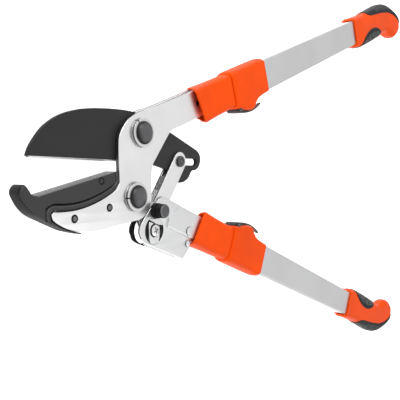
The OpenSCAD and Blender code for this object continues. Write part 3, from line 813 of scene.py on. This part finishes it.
def make_window():
    """What the window shows: the cover, and the tab that lies across it."""
    covers = []
    for side, r in ((1, 9.2), (-1, 8.4)):
        profile = [(2.05, 1.5), (r - 0.2, 1.5), (r, 1.8), (r, 3.2), (r - 0.3, 3.5),
                   (r - 1.6, 3.55), (r - 1.9, 3.2), (5.4, 3.2), (5.1, 3.5), (2.05, 3.55)]
        covers.append(turn(WINDOW, facing(side, profile)))
    add_piece("spring_cover", joined(*covers), "lower_arm", ["black"], 30)
    tab = region([curve(TAB, 5)[:-1]], [circle(WINDOW, 5.0, 48), circle(KNOB, 6.1)],
                 [circle(WINDOW, 10.25, 80)])
    root = region([TAB_ROOT], [circle(KNOB, 6.1)], [circle(WINDOW, 10.3, 80)])
    mesh = joined(plate(tab, 3.6, 5.6, 0.45), plate(root, 3.6, 5.4, 0.2))
    add_piece("spring_tab", mesh, "lower_arm", ["steel", "steel_side_shade"], 40)


def make_screw():
    """A domed screw with a cross recess."""
    n, rows = 64, []
    cross = math.radians(20)
    c, s = math.cos(cross), math.sin(cross)
    for r in (4.3, 4.3, 4.0, 3.6, 3.0, 2.5, 2.1, 1.7, 1.3, 0.9, 0.5, 0.2):
        ring = []
        for k in range(n):
            a = 2 * math.pi * k / n
            x, y = r * math.cos(a), r * math.sin(a)
            z = 5.9 + 1.25 * math.sqrt(max(1 - (r / 4.6) ** 2, 0)) ** 0.9
            if r < 2.7:
                beside_arm = min(abs(x * c + y * s), abs(-x * s + y * c))
                z -= 0.9 * (1 - smooth(beside_arm, 0.3, 0.6)) * (1 - smooth(r, 2.2, 2.6))
            if len(rows) == 0:
                z = 3.56
            ring.append((WINDOW[0] + x, WINDOW[1] + y, z))
        rows.append(ring)
    shank = turn(WINDOW, [(0, -5.2), (3.2, -5.2), (3.6, -4.8), (3.6, -3.6), (2, -3.6),
                          (2, 5.0), (0, 5.0)], n=40)
    obj = add_piece("tab_screw", joined(rings_mesh(rows, head), shank), "lower_arm",
                    ["polish", "steel_side_shade"], 35)
    # Sides take the darker steel: painted shade round the head.
    tint(obj, lambda at, n: 1 if abs(n.z) < 0.55 else 0)


def knob_shading(at, n):
    """0, painted shade, on the sides and below z 9; 1 on the middle of the end face; 2, a painted
    highlight, on its rim.
    """
    if abs(n.z) < 0.5 or at[2] <= 9:
        return 0
    return 1 if at[2] > 13 and math.hypot(at[0] - KNOB[0], at[1] - KNOB[1]) < 4.2 else 2


def make_ratchet_pin():
    knob = [(0, -7.8), (5.2, -7.8), (5.7, -7.3), (5.7, -5.4), (3.2, -5.4), (3.2, 5.4), (5.7, 5.4),
            (5.7, 8.6), (5.55, 8.9), (5.0, 9.0), (5.0, 9.5), (5.25, 9.7), (5.25, 13.9),
            (5.1, 14.5), (4.6, 14.9), (4.0, 15.0), (3.6, 14.9), (3.3, 14.6), (2.6, 14.5),
            (0, 14.5)]
    pin = add_piece("ratchet_pin", turn(KNOB, knob), "lower_arm",
                    ["painted_shade", "oxide", "wear_and_highlight"], 30)
    tint(pin, knob_shading)


def make_bracket_rivets():
    profile = [(0, -1), (2, -1), (2, 0), (3.6, 0), (3.6, 0.25), (3.2, 0.7), (2.4, 0.95),
               (1.2, 1.0), (0, 1.0)]
    rivets = []
    for at, z, size in ((BRACKET_SPOTS[0], 6.8, 1), (BRACKET_SPOTS[1], 5.4, 2.9 / 3.6)):
        for side in (1, -1):
            high = [(r * size, z + h) for r, h in profile]
            rivets.append(turn(at, facing(side, high), n=40))
    obj = add_piece("bracket_rivets", joined(*rivets), "lower_arm",
                    ["polish", "steel_side_shade"], 30)
    # Flanks take the darker steel: painted shade.
    tint(obj, lambda at, n: 1 if abs(n.z) < 0.80 else 0)


# -------- arms
def make_stop_collar(side, upper):
    place, end = arm(upper), -3.4

    def left(t, z):
        """Where the collar begins: nearest the head in front, furthest from it behind."""
        cut = -57.6 - 0.9 * smooth(t, 0, 13) + 7.4 * (1 - smooth(t, -15, -7.5))
        return cut + 4.6 * smooth(-z, -8, 0) + 5 * smooth(-z, 0, 8)

    def ring(u, inset):
        d = 7.9 + 1.4 * (1 - smooth(u, 0, 0.45))
        t0, t1 = -15.3 + 0.3 * u, 15.7 - 0.5 * u
        out = []
        for t, z in box_ring(t0, t1, d, (4.0, 6.6), (4.3, 7.2), inset):
            s0 = left(t, z)
            out.append((s0 + (end - s0) * u, t, z))
        return out
    rows = [ring(0, 0.30), ring(0.004, 0.10), ring(0.012, 0)]
    rows += [ring(u, 0) for u in np.linspace(0.03, 0.97, 26)]
    rows += [ring(0.985, 0.05), ring(0.995, 0.2), ring(1, 0.45), ring(1, 1.9)]
    for u in np.linspace(0.97, 0.03, 12):
        rows.append(ring(u, 1.3 + 0.9 * smooth(u, 0.4, 0.8)))
    rows += [ring(0, 1.25), ring(0, 0.8)]
    add_piece(f"{side}_stop_collar", rings_mesh(rows, place, closed=True),
              "head" if upper else "lower_arm", ["orange"], 40)


def make_clamp_collar(side, upper):
    place = arm(upper)
    low = curve([(-3, -15.4), (0, -16.9), (4, -18.3), (9, -20.1), (15, -22.1), (20, -23.5),
                 (24, -23.9), (26.5, -22.9), (29, -20.9), (33, -18.5), (38, -16.9), (46, -16.1),
                 (57.5, -15.7)], 6)
    high = curve([(-3, 15.4), (-1, 16.4), (4, 16.9), (30, 17.1), (50, 17.3), (57.5, 17.0)], 6)

    def right(t, z):
        """Where the collar ends, on a slight slant."""
        return 57.4 - 0.9 * smooth(t, 6, 17) + 0.6 * (1 - min(1, abs(z) / 9))

    def ring(s, inset):
        t0, t1 = read(low, s), read(high, s)
        d = read([(-3, 8.7), (0, 9.3), (10, 9.3), (57.4, 8.8)], s)
        share = (s + 3) / 60.4
        return [(-3 + (right(t, z) + 3) * share, t, z)
                for t, z in box_ring(t0, t1, d, (2.2, 5.2), (4.6, 7.8), inset)]
    rows = [ring(-3, 1.8), ring(-3, 0.7), ring(-2.85, 0.25), ring(-2.5, 0.05)]
    rows += [ring(s, 0) for s in np.linspace(-2, 56.6, 60)]
    rows += [ring(57, 0.08), ring(57.3, 0.3), ring(57.4, 0.6)]
    for s, a, b in ((57.2, 15.08, 7.08), (30, 15.08, 7.08), (3, 15.08, 7.08), (1.9, 13.9, 5.9),
                    (-2.6, 13.9, 5.9)):
        rows.append([(s, t, z) for t, z in box_ring(-a, a, b, (2.5, 2.5), (2.5, 2.5))])
    add_piece(f"{side}_clamp_collar", rings_mesh(rows, place, closed=True), f"{side}_slider",
              ["orange"], 40)


def make_lever(side, upper):
    inner = curve([(3.4, -16.5), (8, -18.8), (14, -21.6), (21, -24.1), (27, -24.7), (35, -24.9),
                   (43, -24.6), (49, -23.7)], 8)
    outer = curve([(3.0, -21.2), (7.6, -22.7), (14, -24.4), (21, -25.5), (27, -26),
                   (35, -26.2), (43.2, -25.8), (49.3, -24.7)], 8)
    rows = []
    for k, (a, b) in enumerate(zip(inner, outer)):
        share = k / (len(inner) - 1)
        half = 5.8 - 4.0 * smooth(share, 0.45, 1)
        ring = []
        for across, z in ((0, -0.82), (0.16, -1), (0.84, -1), (1, -0.82), (1, 0.82), (0.84, 1),
                          (0.16, 1), (0, 0.82)):
            ring.append((a[0] + (b[0] - a[0]) * across, a[1] + (b[1] - a[1]) * across, z * half))
        rows.append(ring)
    strip = rings_mesh(rows, arm(upper))
    hub = turn((3.5, -18.2), [(1.55, -5.9), (2.9, -5.9), (3.1, -5.7), (3.1, 5.7), (2.9, 5.9),
                              (1.55, 5.9), (1.55, -5.9)], arm(upper), 40)
    add_piece(f"{side}_lever", joined(strip, hub), f"{side}_lever", ["black"], 40)


# -------- grips
back_edge = curve([(285, 16.6), (296, 18.6), (312, 18.4), (328, 18.4), (346, 18.7), (368, 19.7),
                   (390, 20.7), (406, 21), (418, 20.2), (430, 17.7), (442, 13.6), (454, 8.6),
                   (464.5, 3.2), (472.5, -3), (477.6, -10), (479.2, -17.5)])
palm_edge = curve([(479.2, -17.6), (477.6, -24.5), (472, -30), (464, -33.3), (455, -34.3),
                   (446, -32), (437, -27.2), (428, -21.8), (418, -19.8), (408, -19.8),
                   (388, -21.3), (356, -22.3), (330, -22.2), (309, -21), (290, -17.4),
                   (285, -15.6)])[::-1]
back_seam = curve([(346.5, 22), (347.5, 17), (350.5, 14), (360, 12), (385, 10.5), (407, 8.4),
                   (426, 5.8), (444, 0.6), (456, -4.5), (466, -10), (474, -17), (480, -22)])
palm_seam = curve([(311, -24), (317, -17.5), (323, -12), (336, -6.8), (352, -4.2), (367, -4.7),
                   (378, -7.4), (386, -11.4), (390, -16), (393, -24)])
GRIP_END = 479.2
SKIN = 0.9  # how far the orange body lies under the pads' face
RIB_PITCH = 5.4


def section(s):
    """The grip's section at s: its two sides, half depth and the size of its corners."""
    hi, lo = read(back_edge, s), read(palm_edge, s)
    d = 9.4 + 2.0 * smooth(s, 286, 330)
    round_in = 10.5 - (GRIP_END - s)
    if round_in > 0:
        d = d - 10.5 + math.sqrt(max(10.5 ** 2 - round_in ** 2, 0.01))
    k = smooth(s, 286, 340)
    return lo, hi, d, (4.5 + 6.5 * k, 6 + 4 * k)


def stations(a, b, step):
    """Stations along the grip, closer together towards its end."""
    turn_at = GRIP_END - 11
    out = list(np.arange(a, min(b, turn_at), step))
    if b > turn_at:
        out += [turn_at + (b - turn_at) * math.sin(math.pi / 2 * k / 22) for k in range(22)]
    return out + [b]


def side_line(s, seam_t, top, m):
    """m + 1 places and outward directions over one side of the section at s, from the seam in
    front to the seam behind."""
    lo, hi, d, corner = section(s)
    ring = box_ring(lo, hi, d, corner, corner, 0, 24)
    quarter = ring[:24] if top else ring[24:48][::-1]
    sign = 1 if top else -1
    edge = [q for q in quarter if sign * q[0] > sign * seam_t]
    path = [(edge[0][0], 0.0)] + edge if edge else [(quarter[0][0], 0.0)]
    path.append((seam_t, read([(sign * q[0], q[1]) for q in quarter[::-1]], sign * seam_t)
                 if sign * seam_t > sign * quarter[-1][0] else d))
    path = np.array([(t, -z) for t, z in path[:0:-1]] + path)
    step = np.linalg.norm(np.diff(path, axis=0), axis=1)
    along = np.concatenate([[0], np.cumsum(step)])
    at = np.linspace(0, along[-1], m + 1)
    pts = np.stack([np.interp(at, along, path[:, i]) for i in (0, 1)], 1)
    run = np.gradient(pts, axis=0)
    run /= np.maximum(np.linalg.norm(run, axis=1), 1e-9)[:, None]
    out = np.stack([run[:, 1], -run[:, 0]], 1) * sign
    return pts, out, along[-1]


def make_grip_body(side, place):
    def mouth(t, z):
        """Where the rim of the mouth is: prongs reach out along the tube's narrow sides."""
        reach = smooth(abs(t - 1), 11.5, 15.8) * (1 - smooth(abs(z), 2, 8))
        return 298.5 - 2.4 * smooth(t, -12, 12) - (6.5 if t > 0 else 8.5) * reach

    def ring(s, inset):
        lo, hi, d, corner = section(s)
        return [(s, t, z) for t, z in box_ring(lo, hi, d, corner, corner, inset)]

    def rim(k, inset):
        return [(mouth(t, z) + (304 - mouth(t, z)) * k, t, z)
                for _, t, z in ring(288 + 16 * k, inset)]
    bore = [[(304 + 41 * k, t, z) for t, z in box_ring(-15.06, 15.06, 7.06, (2.6, 2.6), (2.6, 2.6))]
            for k in (1, 0.02)]
    bore.append([(mouth(t, z) + 0.7, t, z)
                 for t, z in box_ring(-15.1, 15.1, 7.1, (2.6, 2.6), (2.6, 2.6))])
    rows = bore + [rim(0, 1.6), rim(0.005, 1.1), rim(0.03, 0.6)]
    rows += [rim(k, 0.35 + (SKIN - 0.35) * smooth(k, 0.5, 1)) for k in np.linspace(0.08, 0.95, 9)]
    rows += [ring(s, SKIN) for s in stations(304, GRIP_END - SKIN, 2.4)]
    add_piece(f"{side}_grip_body", rings_mesh(rows, place), f"{side}_slider",
              ["orange"], 45)


def make_grip_pad(side, place, part, s0, s1, seam, top, ribs):
    """A rubber pad from s0 to s1, on one side of the seam line, with ribs across part of it."""
    m, shells, highlit_crests = 48, [], []
    for s in stations(s0, s1, 0.6):
        pts, out, length = side_line(s, read(seam, s), top, m)
        on = smooth(s, ribs[0], ribs[0] + 8) * (1 - smooth(s, ribs[1] - 8, ribs[1]))
        wave = (0.5 - 0.5 * math.cos(2 * math.pi * (s - ribs[0]) / RIB_PITCH)) ** 2
        highlit_crests.append(on > 0.6 and wave < 0.06)
        outer, inner = [], []
        for i in range(m + 1):
            run = min(i, m - i) / m * length
            lift = smooth(min(run, (s - s0) * 1.2, (s1 - s) * 1.2), 0, 1.3)
            rise = -1.15 + 1.15 * lift - 0.85 * on * wave * smooth(run, 1.5, 3.5)
            outer.append((s, *(pts[i] + out[i] * rise)))
            inner.append((s, *(pts[i] - out[i] * 2.2)))
        shells.append(outer + inner[::-1])
    mesh = rings_mesh(shells, place)
    # Faces on the ridge tops take the lighter rubber: a painted highlight.
    for p in mesh.polygons:
        row, column = divmod(p.index, len(shells[0]))
        if row < len(highlit_crests) and highlit_crests[row] and 5 < column < m - 5:
            p.material_index = 1
    add_piece(f"{side}_grip_{part}", mesh, f"{side}_slider", ["rubber", "crest_highlight"], 50)


# -------- the whole tool
make_head_plates()
make_anvil()
make_anvil_rivets()
make_bolts()
make_blade()
make_blade_edge()
make_link()
make_bracket()
make_window()
make_screw()
make_ratchet_pin()
make_bracket_rivets()
# the CAD's own pieces that stay get their materials here
kept = {"arm_tube": "channel"}
for side, upper in (("upper", True), ("lower", False)):
    make_stop_collar(side, upper)
    make_clamp_collar(side, upper)
    make_lever(side, upper)
    make_grip_body(side, arm(upper))
    make_grip_pad(side, arm(upper), "back", 347.2, 478.0, back_seam, True, (374, 456))
    make_grip_pad(side, arm(upper), "palm", 312.2, 391.6, palm_seam, False, (316, 388))
    for part in ("joiner", "inner_tube", "outer_tube"):
        kept[f"{side}_{part}"] = f"tube_{side}"
    kept.update({f"{side}_glide": "black", f"{side}_clamp_pad": "black",
                 f"{side}_lever_pin": "oxide"})
for node, material in kept.items():
    mesh = frame["nodes"][node].data
    mesh.materials.clear()
    mesh.materials.append(M[material])


# -------- stage, light and camera
def make_stage():
    """A white floor, in metres, just under the tool."""
    half, under_tool = 6.0, -0.0005
    corners = [(x * half, y * half, under_tool) for x, y in ((-1, -1), (1, -1), (1, 1), (-1, 1))]
    mesh = bpy.data.meshes.new("floor")
    mesh.from_pydata(corners, [], [(0, 1, 2, 3)])
    floor = bpy.data.objects.new("floor", mesh)
    bpy.context.scene.collection.objects.link(floor)
    mat, _, bsdf = shader("floor_white", (0.92, 0.92, 0.92), 0.0, 0.9)
    bsdf.inputs["Emission Color"].default_value = (1, 1, 1, 1)
    bsdf.inputs["Emission Strength"].default_value = 0.75
    mesh.materials.append(mat)


def make_light(name, at, size, power):
    """A square light at a place in metres that shines on the middle of the tool."""
    data = bpy.data.lights.new(name, "AREA")
    data.shape = "RECTANGLE"
    data.size, data.size_y = size, size
    data.energy = power
    obj = bpy.data.objects.new(name, data)
    bpy.context.scene.collection.objects.link(obj)
    obj.location = at
    obj.rotation_mode = "QUATERNION"
    obj.rotation_quaternion = (-Vector(at)).to_track_quat("-Z", "Y")


def make_sky():
    """A studio that is white above and grey below."""
    world = bpy.data.worlds.new("studio")
    bpy.context.scene.world = world
    world.use_nodes = True
    nt = world.node_tree
    place = nt.nodes.new("ShaderNodeTexCoord")
    split = nt.nodes.new("ShaderNodeSeparateXYZ")
    nt.links.new(place.outputs["Generated"], split.inputs["Vector"])
    sky = ramp(nt, spread(nt, split.outputs["Z"], 0, 1, -0.2, 1.0),
               [(0.0, (0.30, 0.30, 0.31)), (0.25, (0.38, 0.38, 0.39)), (0.5, (0.97, 0.97, 0.97)),
                (1.0, (0.90, 0.90, 0.90))])
    nt.links.new(sky, nt.nodes["Background"].inputs["Color"])
    nt.nodes["Background"].inputs["Strength"].default_value = 0.85


def make_camera():
    """The photo's camera. It looks at a point right of and under the blade pivot."""
    camera = bpy.data.objects.new("camera", bpy.data.cameras.new("camera"))
    bpy.context.scene.collection.objects.link(camera)
    camera.data.sensor_width = 36
    camera.data.lens = 50.967
    camera.data.clip_start, camera.data.clip_end = 0.01, 20
    turned, tilt, roll = math.radians(53.9), math.radians(3.3), math.radians(-0.39)
    look = (Matrix.Rotation(roll, 3, "Z") @ Matrix.Rotation(tilt, 3, "X")
            @ Matrix.Rotation(turned, 3, "Y"))
    back = look.transposed()
    away = back @ Vector((0, 0, 0.475))
    camera.matrix_world = Matrix.Translation(head(78.2, -51.8, 0) + away) @ back.to_4x4()
    bpy.context.scene.camera = camera


make_stage()
make_light("key", (-0.6, 1.3, 1.3), 1.0, 15)
make_light("fill", (0.6, -1.2, 1.3), 1.4, 4)
make_sky()
make_camera()
bpy.context.scene.view_settings.view_transform = "Standard"
bpy.context.scene.view_settings.look = "None"
